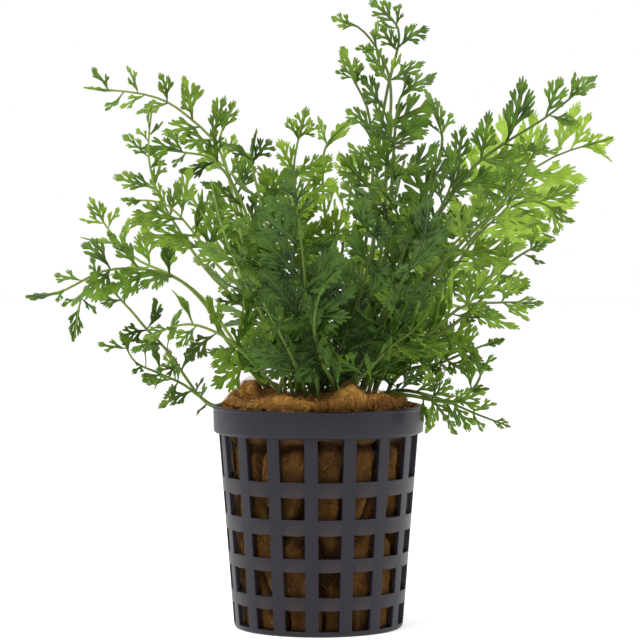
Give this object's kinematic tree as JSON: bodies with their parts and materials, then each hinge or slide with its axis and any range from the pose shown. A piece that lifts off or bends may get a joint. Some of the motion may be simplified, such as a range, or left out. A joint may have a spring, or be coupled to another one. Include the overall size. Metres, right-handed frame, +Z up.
{
  "type": "potted aquarium fern",
  "caption": "Aquarium plant with finely cut green fronds growing from golden mineral wool in a dark, slotted net pot.",
  "frame": {"origin": "centre of the pot's underside, on the surface it stands on", "axes": "+Z up along the pot's axis, -Y towards the viewer of the picture, +X to the viewer's right"},
  "size_m": [0.14, 0.1201, 0.1478],
  "materials": {
    "net_pot": "moulded, semi-matte",
    "mineral_wool": "matted fibres",
    "leaf_deep": "smooth living leaf",
    "leaf_mid": "smooth living leaf",
    "leaf_fresh": "smooth living leaf",
    "leaf_bright": "smooth living leaf",
    "leaf_lime": "smooth living leaf"
  },
  "bodies": {
    "root": {"net_pot": "net_pot", "mineral_wool": "mineral_wool", "frond_tallest": "leaf_mid", "frond_top_left": "leaf_fresh", "frond_right_dark": "leaf_mid", "frond_right_bright": "leaf_lime", "frond_right_lime": "leaf_lime", "frond_right_olive": "leaf_fresh", "frond_right_pointed": "leaf_fresh", "frond_right_mid": "leaf_fresh", "frond_right_low": "leaf_fresh", "frond_right_small": "leaf_fresh", "frond_right_hooked": "leaf_mid", "frond_trailing_right": "leaf_fresh", "frond_rim_right": "leaf_fresh", "frond_tall_left": "leaf_fresh", "frond_tall_right": "leaf_mid", "frond_right_crest": "leaf_mid", "frond_right_upper": "leaf_mid", "frond_left_bright": "leaf_bright", "frond_far_left": "leaf_mid", "frond_left_rim": "leaf_mid", "frond_low_left": "leaf_fresh", "frond_left_mid": "leaf_fresh", "frond_left_long": "leaf_fresh", "frond_left_shoot": "leaf_fresh", "frond_upper_left": "leaf_mid", "frond_left_crest": "leaf_bright", "frond_left_fan": "leaf_mid", "frond_left_upright": "leaf_mid", "frond_centre_bright": "leaf_bright", "frond_centre_back": "leaf_bright", "frond_centre_lime": "leaf_lime", "frond_front_centre": "leaf_deep", "frond_front_low": "leaf_deep", "frond_front_right": "leaf_deep", "frond_front_middle": "leaf_deep", "frond_front_low_left": "leaf_deep", "frond_front_low_right": "leaf_mid", "frond_right_back": "leaf_lime", "frond_back_left": "leaf_fresh", "frond_back_centre": "leaf_mid", "frond_back_right": "leaf_mid", "frond_tall_crest": "leaf_fresh"}
  },
  "joints": []
}
